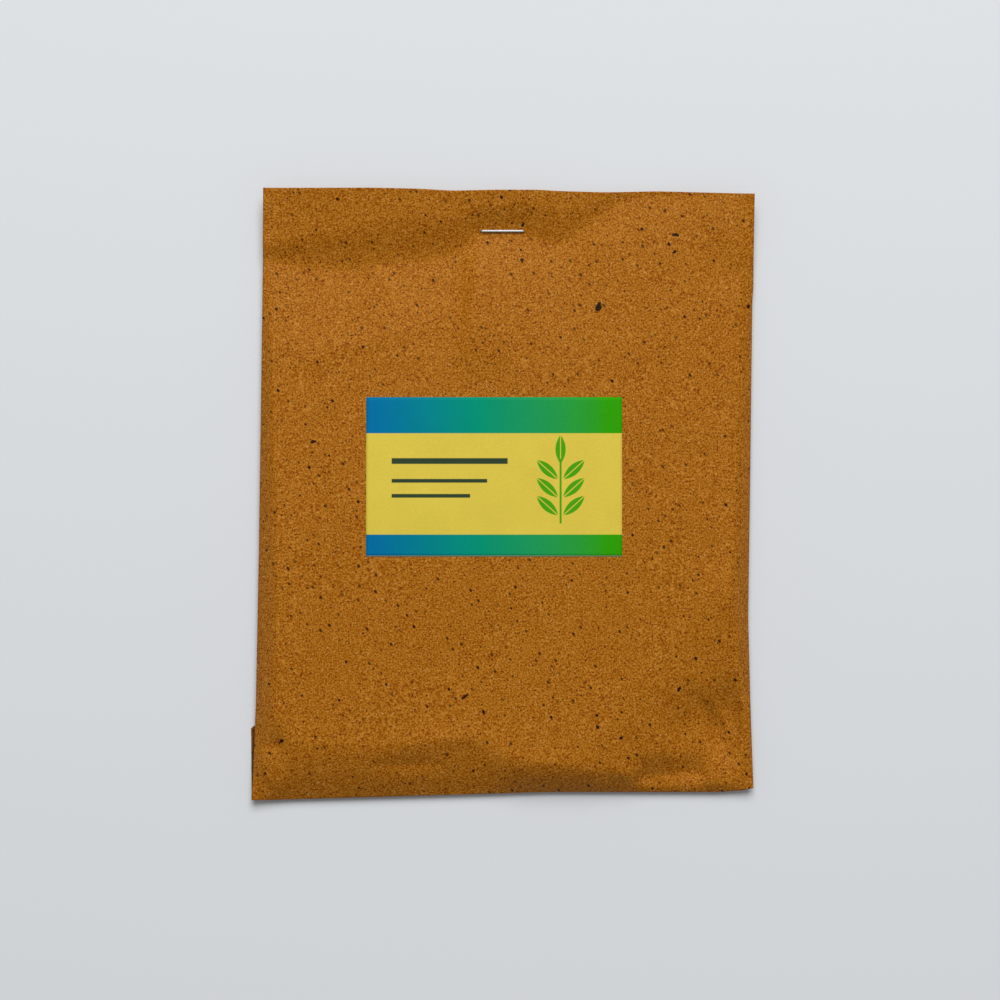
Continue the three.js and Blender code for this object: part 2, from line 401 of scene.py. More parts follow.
Number = Union["Signal", float]


@dataclass(frozen=True)
class Lumps:
    """Cloudy noise: size of its lumps in millimetres, its finer layers, and their strength."""

    size: float
    detail: float = 2.0
    roughness: float = 0.6


def math_operator(operation: str, swapped: bool = False) -> Callable[["Signal", Number], "Signal"]:
    """Makes an operator of signals.

    Args:
        operation: Operation of the Math node that it adds.
        swapped: Whether the signal is the second operand, as in a reflected operator.

    Returns:
        The operator, to be used as a method.
    """

    def combine(signal: "Signal", other: Number) -> "Signal":
        """Adds the Math node."""
        operands = (other, signal) if swapped else (signal, other)
        return signal.graph.maths(operation, *operands)

    return combine


class Signal:
    """A number on a shader socket, combined with Python's operators."""

    __add__, __radd__ = math_operator("ADD"), math_operator("ADD", swapped=True)
    __sub__, __rsub__ = math_operator("SUBTRACT"), math_operator("SUBTRACT", swapped=True)
    __mul__, __rmul__ = math_operator("MULTIPLY"), math_operator("MULTIPLY", swapped=True)
    __truediv__ = math_operator("DIVIDE")
    __lt__ = math_operator("LESS_THAN")
    at_most = math_operator("MINIMUM")
    at_least = math_operator("MAXIMUM")

    def __init__(self, graph: "Graph", socket: bpy.types.NodeSocket) -> None:
        """Keeps the socket and the graph that new nodes go into."""
        self.graph = graph
        self.socket = socket

    def __abs__(self) -> "Signal":
        """Drops the sign."""
        return self.graph.maths("ABSOLUTE", self)

    def step(self, low: float, high: float) -> "Signal":
        """Eases from 0 at low to 1 at high.

        Args:
            low: Value that gives 0; it may be the greater of the two.
            high: Value that gives 1.

        Returns:
            The eased signal.
        """
        reverse = low > high
        bounds = {1: min(low, high), 2: max(low, high), 3: float(reverse), 4: float(not reverse)}
        settings = {"interpolation_type": "SMOOTHSTEP"}
        made = self.graph.node("ShaderNodeMapRange", settings, {0: self, **bounds})
        return Signal(self.graph, made.outputs[0])


class Graph:
    """Builds the node tree of one material."""

    def __init__(self, name: str) -> None:
        """Starts a material that holds only a surface shader and its output."""
        self.material = bpy.data.materials.new(name)
        self.material.use_nodes = True
        self.tree = self.material.node_tree
        self.shader = next(node for node in self.tree.nodes if node.type == "BSDF_PRINCIPLED")

    def link(self, value: Any, target: bpy.types.NodeSocket) -> None:
        """Puts a plain value on a socket, or links a signal or another socket to it."""
        if isinstance(value, Signal):
            value = value.socket
        if isinstance(value, bpy.types.NodeSocket):
            self.tree.links.new(value, target)
        else:
            target.default_value = value

    def node(
        self,
        kind: str,
        settings: Optional[Mapping[str, Any]] = None,
        sockets: Optional[Mapping[Union[str, int], Any]] = None,
    ) -> bpy.types.Node:
        """Adds a node.

        Args:
            kind: Type of the node.
            settings: Its properties, set first; "stops" holds a ramp's places and colours.
            sockets: Values, signals or sockets for its inputs, by name or number.

        Returns:
            The new node.
        """
        made = self.tree.nodes.new(kind)
        for key, value in (settings or {}).items():
            if key == "stops":
                self.set_stops(made.color_ramp, value)
            else:
                setattr(made, key, value)
        for key, value in (sockets or {}).items():
            self.link(value, made.inputs[key])
        return made

    @staticmethod
    def set_stops(ramp: bpy.types.ColorRamp, stops: tuple[tuple[float, Colour], ...]) -> None:
        """Fills a colour ramp with places and colours."""
        while len(ramp.elements) < len(stops):
            ramp.elements.new(1.0)
        for element, (place, colour) in zip(ramp.elements, stops):
            element.position = place
            element.color = (*colour, 1.0)

    def maths(self, operation: str, *operands: Number) -> Signal:
        """Adds a Math node on one or two numbers."""
        made = self.node("ShaderNodeMath", {"operation": operation}, dict(enumerate(operands)))
        return Signal(self, made.outputs[0])

    def place(self) -> bpy.types.NodeSocket:
        """Gives the place on the object, in metres."""
        return self.node("ShaderNodeTexCoord").outputs["Object"]

    def axes(self, place: bpy.types.NodeSocket) -> tuple[Signal, Signal, Signal]:
        """Splits a place into its three numbers."""
        split = self.node("ShaderNodeSeparateXYZ", None, {0: place})
        x, y, z = (Signal(self, output) for output in split.outputs)
        return x, y, z

    def mapped(
        self,
        place: bpy.types.NodeSocket,
        centre: Triple = (0.0, 0.0, 0.0),
        turn: float = 0.0,
        size: Triple = (1.0, 1.0, 1.0),
    ) -> bpy.types.NodeSocket:
        """Reads a place in a turned and scaled patch of its own.

        Args:
            place: Place on the object.
            centre: Middle of the patch, in metres.
            turn: Turn of the patch about Z, in radians.
            size: Lengths that count as 1 inside the patch.

        Returns:
            The place inside the patch.
        """
        settings = {"vector_type": "TEXTURE"}
        sockets = {"Vector": place, "Location": centre, "Rotation": (0.0, 0.0, turn), "Scale": size}
        return self.node("ShaderNodeMapping", settings, sockets).outputs[0]

    def length(self, vector: bpy.types.NodeSocket) -> Signal:
        """Measures a vector."""
        made = self.node("ShaderNodeVectorMath", {"operation": "LENGTH"}, {0: vector})
        return Signal(self, made.outputs["Value"])

    def noise(self, place: bpy.types.NodeSocket, lumps: Lumps) -> Signal:
        """Gives cloudy noise about 0.

        Args:
            place: Place on the object.
            lumps: Size and fineness of the noise.

        Returns:
            Noise from about -0.5 to 0.5.
        """
        scale = 1.0 / (lumps.size * MM)
        sockets = {"Vector": place, "Scale": scale, "Detail": lumps.detail, "Roughness": lumps.roughness}
        return Signal(self, self.node("ShaderNodeTexNoise", None, sockets).outputs["Fac"]) - 0.5

    def cells(self, place: bpy.types.NodeSocket, size_mm: float) -> tuple[Signal, Signal, Signal, Signal]:
        """Scatters points, one to a cell.

        Args:
            place: Place on the object.
            size_mm: Mean distance between points, in millimetres.

        Returns:
            The distance to the nearest point in cell sizes, and three random numbers of its cell.
        """
        settings = {"voronoi_dimensions": "2D"}
        made = self.node("ShaderNodeTexVoronoi", settings, {"Vector": place, "Scale": 1.0 / (size_mm * MM)})
        parts = self.node("ShaderNodeSeparateColor", None, {0: made.outputs["Color"]})
        chances = (Signal(self, output) for output in parts.outputs)
        return (Signal(self, made.outputs["Distance"]), *chances)

    def tint(self, colour: Any, factor: Number) -> bpy.types.NodeSocket:
        """Multiplies a colour by a number."""
        made = self.node("ShaderNodeVectorMath", {"operation": "SCALE"}, {0: colour, "Scale": factor})
        return made.outputs[0]

    def shifted(self, colour: Colour, towards: Colour, amount: Signal) -> bpy.types.NodeSocket:
        """Adds a multiple of one colour to another.

        Args:
            colour: Colour to start from.
            towards: Colour that is added.
            amount: How many times it is added; it may be negative.

        Returns:
            The shifted colour, not below black.
        """
        sockets = {0: self.tint(towards, amount), 1: colour}
        added = self.node("ShaderNodeVectorMath", {"operation": "ADD"}, sockets).outputs[0]
        floor = {0: added, 1: NEAR_BLACK}
        return self.node("ShaderNodeVectorMath", {"operation": "MAXIMUM"}, floor).outputs[0]

    def mix(self, factor: Number, first: Any, second: Any) -> bpy.types.NodeSocket:
        """Mixes two colours.

        Args:
            factor: Share of the second colour.
            first: Colour or socket at 0.
            second: Colour or socket at 1.

        Returns:
            The mixed colour.
        """
        first, second = (
            (*value, 1.0) if isinstance(value, tuple) else value for value in (first, second)
        )
        made = self.node("ShaderNodeMix", {"data_type": "RGBA"}, {0: factor, 6: first, 7: second})
        return made.outputs[2]

    def bump(self, height: Number, depth_mm: float, strength: float) -> bpy.types.NodeSocket:
        """Turns a height pattern into normals.

        Args:
            height: Pattern of heights.
            depth_mm: Depth that a height of 1 stands for.
            strength: Share of the effect.

        Returns:
            The normal.
        """
        sockets = {"Height": height, "Distance": depth_mm * MM, "Strength": strength}
        return self.node("ShaderNodeBump", None, sockets).outputs[0]

    def surface(self, **sockets: Any) -> bpy.types.Material:
        """Sets the surface shader's inputs.

        Args:
            sockets: Values or links, named with underscores for spaces.

        Returns:
            The finished material.
        """
        for key, value in sockets.items():
            self.link(value, self.shader.inputs[key.replace("_", " ")])
        return self.material


# Finishes


@dataclass(frozen=True)
class Specks:
    """A scatter of specks, one to a cell in a share of the cells.

    Spacing and radii are in millimetres. The scatter is shifted in metres, turned in radians and
    squashed, so that no two scatters line up.
    """

    spacing: float
    share: float
    radii: Point
    shift: Triple = (0.0, 0.0, 0.0)
    turn: float = 0.0
    squash: float = 1.0
    faintest: float = 0.6

    def mask(self, graph: Graph, place: bpy.types.NodeSocket, ragged: Signal) -> Signal:
        """Marks the specks.

        Args:
            graph: Node tree to add to.
            place: Place on the object.
            ragged: Noise that makes their edges uneven.

        Returns:
            Mask of the specks, with a strength of its own for each.
        """
        patch = graph.mapped(place, self.shift, self.turn, (1.0, self.squash, 1.0))
        distance, chance, scale, strength = graph.cells(patch, self.spacing)
        smallest, largest = (radius / self.spacing for radius in self.radii)
        inside = (scale * (largest - smallest) + smallest - distance) / (largest / 2) + ragged
        shown = self.faintest + (1.0 - self.faintest) * strength
        return inside.step(0.0, 0.5) * (chance < self.share) * shown


@dataclass(frozen=True)
class KraftPaper:
    """Brown kraft paper: cloudy pulp, fine grain, dark and pale specks, a few larger flecks, and painted
    shadow on the flap strip beside the left fold.
    """

    colour: Colour = (0.387, 0.134, 0.0050)
    paler: Colour = (0.056, 0.032, 0.0085)
    dark_speck: Colour = (0.012, 0.004, 0.001)
    pale_speck: Colour = (0.62, 0.33, 0.12)
    sheen: float = 0.07

    # Noise in the paper, and how far cloud, pulp, grain and fibre shift its colour
    cloud: Lumps = Lumps(16.0, 3.0)
    pulp: Lumps = Lumps(2.4)
    grain: Lumps = Lumps(0.48, 1.0)
    fibre: Lumps = Lumps(0.8)
    fibre_turn: float = 0.5
    fibre_stretch: Triple = (3.4, 0.7, 1.0)
    shade: tuple[float, float, float, float] = (0.6, 2.0, 14.5, 1.8)

    # Roughness with its shares of grain and pulp; tooth from grain, pulp and fibre, its depth and strength
    roughness: Triple = (0.56, 0.12, -0.1)
    tooth: Triple = (0.7, 0.5, 0.5)
    tooth_depth: Point = (0.05, 0.6)

    # Small specks, the unevenness of their edges, and how far the pale, dark and strongest ones cover
    pale_specks: Specks = Specks(1.6, 0.25, (0.12, 0.30))
    dark_specks: Specks = Specks(1.7, 0.13, (0.18, 0.40), (0.013, 0.007, 0.0), 0.6, 0.75)
    strong_specks: Specks = Specks(4.0, 0.33, (0.28, 0.66), (0.031, 0.011, 0.0), 2.2, 0.7)
    ragged: float = 1.6
    cover: Triple = (0.7, 0.85, 0.97)

    # Larger flecks: place on the front, length, width and turn in degrees
    flecks: tuple[tuple[float, float, float, float, float], ...] = (
        (28.3, 55.1, 2.4, 1.5, 70.0),
        (51.0, 76.4, 1.8, 0.9, -10.0),
        (49.0, 73.7, 1.0, 0.7, 110.0),
        (50.7, 71.3, 1.2, 0.7, 40.0),
        (72.6, 55.4, 1.1, 0.8, 80.0),
        (-55.6, 15.5, 1.2, 0.9, 0.0),
        (-11.0, -59.2, 1.9, 0.6, 40.0),
        (-5.4, -63.7, 1.1, 0.7, 120.0),
        (-64.6, -72.2, 1.1, 0.8, 30.0),
        (51.9, -57.2, 1.3, 0.7, 60.0),
        (28.0, -68.1, 1.2, 0.8, 150.0),
        (34.8, -71.3, 1.0, 0.7, 10.0),
        (6.1, 79.6, 1.0, 0.7, 45.0),
        (5.8, 69.0, 1.1, 0.7, 100.0),
    )
    fleck_depth: float = 1.5
    fleck_scale: float = 1.3
    fleck_edge: Point = (1.2, 0.7)

    # Painted shadow on the strip of the flap beside the left fold, where the front's edge overhangs it: a
    # point on the fold, its slant, the shadow's dark and pale levels and the width
    fold_at: Point = (-72.7, -62.0)
    fold_slant: float = 0.0426
    painted_shadow_levels: Point = (0.16, 0.6)
    fold_strip: Point = (0.1, 1.1)
    fold_edge: float = 0.12
    strip_top: float = -66.6

    def fleck_mask(
        self, graph: Graph, place: bpy.types.NodeSocket, ragged: Signal, relief: Relief
    ) -> Signal:
        """Marks the larger flecks.

        Args:
            graph: Node tree to add to.
            place: Place on the object.
            ragged: Noise that makes their edges uneven.
            relief: Heights of the panel that they lie on.

        Returns:
            Mask of all the flecks together.
        """
        total: Number = 0.0
        for x, y, long, wide, turn in self.flecks:
            height = float(relief.front(np.array([x]), np.array([y]))[0])
            centre = (x * MM, y * MM, height * MM)
            half = self.fleck_scale / 2 * MM
            size = (long * half, wide * half, self.fleck_depth * MM)
            inside = graph.length(graph.mapped(place, centre, math.radians(turn), size))
            total = (inside + ragged).step(*self.fleck_edge) + total
        return total.at_most(1.0)

    def painted_flap_shadow(self, graph: Graph, place: bpy.types.NodeSocket) -> Signal:
        """Paints shadow on the strip of the flap that shows beside the left fold, under the overhanging
        edge of the front.

        Args:
            graph: Node tree to add to.
            place: Place on the object.

        Returns:
            Share of the paper's colour that is left.
        """
        x, y, _ = graph.axes(place)
        upward = y / MM
        out = self.fold_at[0] + self.fold_slant * (upward - self.fold_at[1]) - x / MM
        dark, pale = self.painted_shadow_levels
        strip = dark + (pale - dark) * out.step(*self.fold_strip)
        return 1.0 + out.step(0.0, self.fold_edge) * (upward < self.strip_top) * (strip - 1.0)

    def material(self, relief: Relief) -> bpy.types.Material:
        """Builds the paper.

        Args:
            relief: Heights of the panel that carries the larger flecks.

        Returns:
            The finished material.
        """
        graph = Graph("kraft_paper")
        place = graph.place()
        along = graph.mapped(place, turn=self.fibre_turn, size=self.fibre_stretch)
        cloud, pulp, grain = (graph.noise(place, lumps) for lumps in (self.cloud, self.pulp, self.grain))
        fibre = graph.noise(along, self.fibre)
        by_cloud, by_pulp, by_grain, by_fibre = self.shade
        shade = by_cloud * cloud + by_pulp * pulp + by_grain * grain + by_fibre * fibre
        paper = graph.shifted(self.colour, self.paler, shade)
        scatters = (self.pale_specks, self.dark_specks, self.strong_specks)
        pale, dark, strong = (specks.mask(graph, place, grain * self.ragged) for specks in scatters)
        flecks = self.fleck_mask(graph, place, grain, relief)
        pale_cover, dark_cover, full_cover = self.cover
        spots = (dark * dark_cover).at_least(strong).at_least(flecks).at_most(full_cover)
        spotted = graph.mix(pale * pale_cover, paper, self.pale_speck)
        spotted = graph.mix(spots, spotted, self.dark_speck)
        base_rough, rough_grain, rough_pulp = self.roughness
        high_grain, high_pulp, high_fibre = self.tooth
        tooth = high_grain * grain + high_pulp * pulp + high_fibre * fibre
        return graph.surface(
            # the base colour carries the painted shadow on the flap strip beside the left fold
            Base_Color=graph.tint(spotted, self.painted_flap_shadow(graph, place)),
            Roughness=(base_rough + rough_grain * grain + rough_pulp * pulp).at_most(1.0),
            Normal=graph.bump(tooth, *self.tooth_depth),
            Specular_IOR_Level=self.sheen,
        )


@dataclass(frozen=True)
class LabelPrint:
    """Matte printed sticker: yellow field between two stripes, a plain sprig and short rules."""

    middle: Point = (-2.4, 5.2)
    size: Point = (75.0, 46.7)
    yellow: Colour = (0.735, 0.575, 0.072)
    blue: Colour = (0.001, 0.165, 0.37)
    teal: Colour = (0.001, 0.30, 0.17)
    green: Colour = (0.030, 0.355, 0.002)
    ink: Colour = (0.012, 0.045, 0.03)
    pale: Colour = (0.80, 0.77, 0.60)

    # Stripes: heights of the upper and lower one, where their three colours lie, softness of their edges
    top_stripe: float = 10.6
    bottom_stripe: float = 6.4
    stripe_stops: Triple = (0.04, 0.45, 0.94)
    stripe_edge: float = 0.1

    # Sprig: middle, leaves, their offsets in leaf lengths, and the edges of blade and vein
    sprig_at: Point = (19.5, -3.2)
    leaf_pairs: int = 3
    leaf_size: Point = (8.6, 3.0)
    leaf_turn: float = 48.0
    leaf_offset: float = 0.45
    tip_offset: float = 0.2
    pair_spread: float = 0.6
    blade_edge: Point = (1.06, 0.94)
    vein_edge: Point = (0.05, 0.14)
    stem_length: float = 19.0
    stem_width: float = 0.6
    stem_drop: float = 1.0

    # Rules: middle across and up, length and height
    rules: tuple[tuple[float, float, float, float], ...] = (
        (-13.0, 4.6, 34.0, 1.7),
        (-16.0, -1.2, 28.0, 1.1),
        (-18.5, -5.6, 23.0, 1.1),
    )
    rule_edge: float = 0.12

    # How far ink, sprig and the pale cut edge cover the yellow, and where that edge lies
    cover: Triple = (0.97, 0.94, 0.6)
    cut_edge: Point = (0.34, 0.14)

    # Print dots and slow cloud with their shares in the colour; roughness, surface and sheen
    dots: Lumps = Lumps(0.45, 1.0, 0.5)
    cloud: Lumps = Lumps(9.0, 2.0, 0.5)
    print_shares: Point = (0.20, 0.10)
    roughness: Point = (0.62, 0.15)
    dot_depth: Point = (0.01, 0.5)
    sheen: float = 0.03

    def bar(self, x: Signal, y: Signal, shape: tuple[float, float, float, float]) -> Signal:
        """Marks a bar.

        Args:
            x: Place across the label, in millimetres from its middle.
            y: Place up the label, in millimetres from its middle.
            shape: Middle across and up, length and height.

        Returns:
            Mask of the bar.
        """
        middle_x, middle_y, long, high = shape
        across = abs(x - middle_x) - long / 2
        upward = abs(y - middle_y) - high / 2
        return across.at_least(upward).step(self.rule_edge, -self.rule_edge)

    def sprig(self, graph: Graph, place: bpy.types.NodeSocket) -> Signal:
        """Marks the sprig's paired leaves and the leaf at its tip.

        Args:
            graph: Node tree to add to.
            place: Place on the object.

        Returns:
            Mask of the leaves.
        """
        base_x = self.middle[0] + self.sprig_at[0]
        base_y = self.middle[1] + self.sprig_at[1]
        long, wide = self.leaf_size
        leaves = [(0.0, self.stem_length / 2 + long * self.tip_offset, 90.0)]
        for pair in range(self.leaf_pairs):
            step = self.stem_length / (self.leaf_pairs + self.pair_spread)
            height = (pair - (self.leaf_pairs - 1) / 2) * step
            for side in (-1.0, 1.0):
                leaves.append((side * long * self.leaf_offset, height, 90.0 - side * self.leaf_turn))
        total: Number = 0.0
        for x, y, turn in leaves:
            centre = ((base_x + x) * MM, (base_y + y) * MM, 0.0)
            patch = graph.mapped(place, centre, math.radians(turn), (long / 2 * MM, wide / 2 * MM, 1.0))
            along, across, _ = graph.axes(patch)
            blade = abs(across) + along * along
            total = blade.step(*self.blade_edge) * abs(across).step(*self.vein_edge) + total
        return total

    def material(self) -> bpy.types.Material:
        """Builds the print.

        Returns:
            The finished material.
        """
        graph = Graph("label_print")
        place = graph.place()
        raw_x, raw_y, _ = graph.axes(place)
        x = raw_x / MM - self.middle[0]
        y = raw_y / MM - self.middle[1]
        wide, high = self.size
        stops = tuple(zip(self.stripe_stops, (self.blue, self.teal, self.green)))
        band = graph.node("ShaderNodeValToRGB", {"stops": stops}, {0: x / wide + 0.5}).outputs[0]
        top = (y - (high / 2 - self.top_stripe)).step(-self.stripe_edge, self.stripe_edge)
        bottom = (y + (high / 2 - self.bottom_stripe)).step(self.stripe_edge, -self.stripe_edge)
        ink_cover, sprig_cover, edge_cover = self.cover
        colour = graph.mix(top.at_least(bottom), self.yellow, band)
        for shape in self.rules:
            colour = graph.mix(self.bar(x, y, shape) * ink_cover, colour, self.ink)
        stem = (self.sprig_at[0], self.sprig_at[1] - self.stem_drop, self.stem_width, self.stem_length)
        sprig = self.sprig(graph, place).at_least(self.bar(x, y, stem)).at_most(1.0)
        colour = graph.mix(sprig * sprig_cover, colour, self.green)
        colour = graph.mix((y + high / 2).step(*self.cut_edge) * edge_cover, colour, self.pale)
        dots, cloud = (graph.noise(place, lumps) for lumps in (self.dots, self.cloud))
        dot_share, cloud_share = self.print_shares
        return graph.surface(
            Base_Color=graph.tint(colour, 1.0 + dot_share * dots + cloud_share * cloud),
            Roughness=self.roughness[0] + self.roughness[1] * dots,
            Normal=graph.bump(dots, *self.dot_depth),
            Specular_IOR_Level=self.sheen,
        )


@dataclass(frozen=True)
class StapleSteel:
    """Drawn steel wire with fine lengthwise streaks and dull stains."""

    bright: Colour = (0.50, 0.50, 0.51)
    dull: Colour = (0.44, 0.44, 0.45)
    streak: Lumps = Lumps(0.12)
    streak_stretch: Triple = (9.0, 1.0, 1.0)
    stain: Lumps = Lumps(1.6)
    wear: Point = (0.5, 0.3)
    roughness: Point = (0.48, 0.03)

    def material(self) -> bpy.types.Material:
        """Builds the steel.

        Returns:
            The finished material.
        """
        graph = Graph("staple_steel")
        place = graph.place()
        streak = graph.noise(graph.mapped(place, size=self.streak_stretch), self.streak)
        stain = graph.noise(place, self.stain)
        share, level = self.wear
        worn = (streak * share + stain * share + level).step(0.0, 1.0)
        return graph.surface(
            Base_Color=graph.mix(worn, self.bright, self.dull),
            Metallic=1.0,
            Roughness=self.roughness[0] + self.roughness[1] * worn,
        )


@dataclass(frozen=True)
class DriedLeaf:
    """Dried bay leaf: dull green, paler veins, brown margins."""

    green: Colour = (0.155, 0.165, 0.058)
    olive: Colour = (0.235, 0.205, 0.085)
    vein: Colour = (0.36, 0.31, 0.16)
    brown: Colour = (0.19, 0.115, 0.05)

    # Side veins: number, slant, edges and where they end; then the midrib's edges and the brown margin's
    vein_count: float = 11.0
    vein_slant: float = 0.16
    vein_edge: Point = (0.09, 0.02)
    vein_end: Point = (0.95, 0.7)
    midrib_edge: Point = (0.07, 0.03)
    margin_edge: Point = (0.86, 1.0)

    # Blotches and pores, how far margin and veins cover the blade, and the surface
    blotch: Lumps = Lumps(7.0, 3.0)
    blotch_edge: Point = (-0.2, 0.2)
    pores: Lumps = Lumps(0.5, 2.0, 0.5)
    pore_shade: float = 0.35
    pore_height: float = 0.3
    cover: Point = (0.7, 0.75)
    roughness: Point = (0.55, 0.2)
    vein_depth: Point = (0.12, 0.7)

    def material(self) -> bpy.types.Material:
        """Builds the leaf from the leaf's own map: along the blade, and out from its midrib.

        Returns:
            The finished material.
        """
        graph = Graph("dried_leaf")
        place = graph.place()
        own = graph.node("ShaderNodeUVMap", {"uv_map": "leaf"}).outputs[0]
        aside, ahead, _ = graph.axes(own)
        out = abs(aside - 0.5) * 2.0
        stripes = graph.maths("FRACT", (ahead - out * self.vein_slant) * self.vein_count)
        side_vein = abs(stripes - 0.5).step(*self.vein_edge) * out.step(*self.vein_end)
        veins = side_vein.at_least(out.step(*self.midrib_edge))
        blotch, pores = (graph.noise(place, lumps) for lumps in (self.blotch, self.pores))
        margin_cover, vein_cover = self.cover
        blade = graph.mix(blotch.step(*self.blotch_edge), self.green, self.olive)
        blade = graph.mix(out.step(*self.margin_edge) * margin_cover, blade, self.brown)
        blade = graph.mix(veins * vein_cover, blade, self.vein)
        return graph.surface(
            Base_Color=graph.tint(blade, 1.0 + self.pore_shade * pores),
            Roughness=self.roughness[0] + self.roughness[1] * pores,
            Normal=graph.bump(veins + pores * self.pore_height, *self.vein_depth),
        )


@dataclass(frozen=True)
class StudioPaper:
    """Seamless pale studio paper under the packet."""

    colour: Colour = (0.757, 0.783, 0.812)
    tooth: Lumps = Lumps(1.5, 2.0, 0.5)
    tooth_shade: float = 0.01
    roughness: float = 0.9
    sheen: float = 0.05

    def material(self) -> bpy.types.Material:
        """Builds the paper.

        Returns:
            The finished material.
        """
        graph = Graph("studio_paper")
        tooth = graph.noise(graph.place(), self.tooth)
        return graph.surface(
            Base_Color=graph.tint(self.colour, 1.0 + self.tooth_shade * tooth),
            Roughness=self.roughness,
            Specular_IOR_Level=self.sheen,
        )


# Meshes


def corners(bm: bmesh.types.BMesh) -> Grid:
    """Reads the places of all vertices as rows of X, Y, Z."""
    return np.array([vertex.co for vertex in bm.verts])


def move_to(bm: bmesh.types.BMesh, places: Grid) -> None:
    """Moves all vertices to the given places."""
    for vertex, place in zip(bm.verts, places):
        vertex.co = place


def make_object(name: str, bm: bmesh.types.BMesh, material: bpy.types.Material) -> bpy.types.Object:
    """Finishes a mesh made in millimetres.

    Args:
        name: Name of the piece.
        bm: Its mesh, which is freed.
        material: Its finish.

    Returns:
        The object, in metres, smooth shaded, at the origin.
    """
    bmesh.ops.scale(bm, vec=(MM, MM, MM), verts=bm.verts)
    mesh = bpy.data.meshes.new(name)
    bm.to_mesh(mesh)
    bm.free()
    mesh.polygons.foreach_set("use_smooth", [True] * len(mesh.polygons))
    mesh.materials.append(material)
    made = bpy.data.objects.new(name, mesh)
    bpy.context.collection.objects.link(made)
    return made


def add_wall(piece: bpy.types.Object, thick_mm: float, offset: float) -> None:
    """Gives a sheet its thickness.

    Args:
        piece: Object whose mesh is one sheet.
        thick_mm: Thickness in millimetres.
        offset: -1 for a wall behind the faces, 1 for one in front.
    """
    wall = piece.modifiers.new("wall", "SOLIDIFY")
    wall.thickness = thick_mm * MM
    wall.offset = offset
    wall.use_even_offset = False


def dress(piece: bpy.types.Object, slot: Slot, *nodes: str) -> bpy.types.Object:
    """Puts a piece in place of its solids: hides them, hangs the piece on the packet and logs what it
    stands for.

    Args:
        piece: The new piece.
        slot: Not used.
        nodes: Solids that it stands for.

    Returns:
        The same piece.
    """
    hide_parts(*nodes)
    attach(piece, "root")
    log.info("%s: %d faces, stands for %s", piece.name, len(piece.data.polygons), ", ".join(nodes))
    return piece


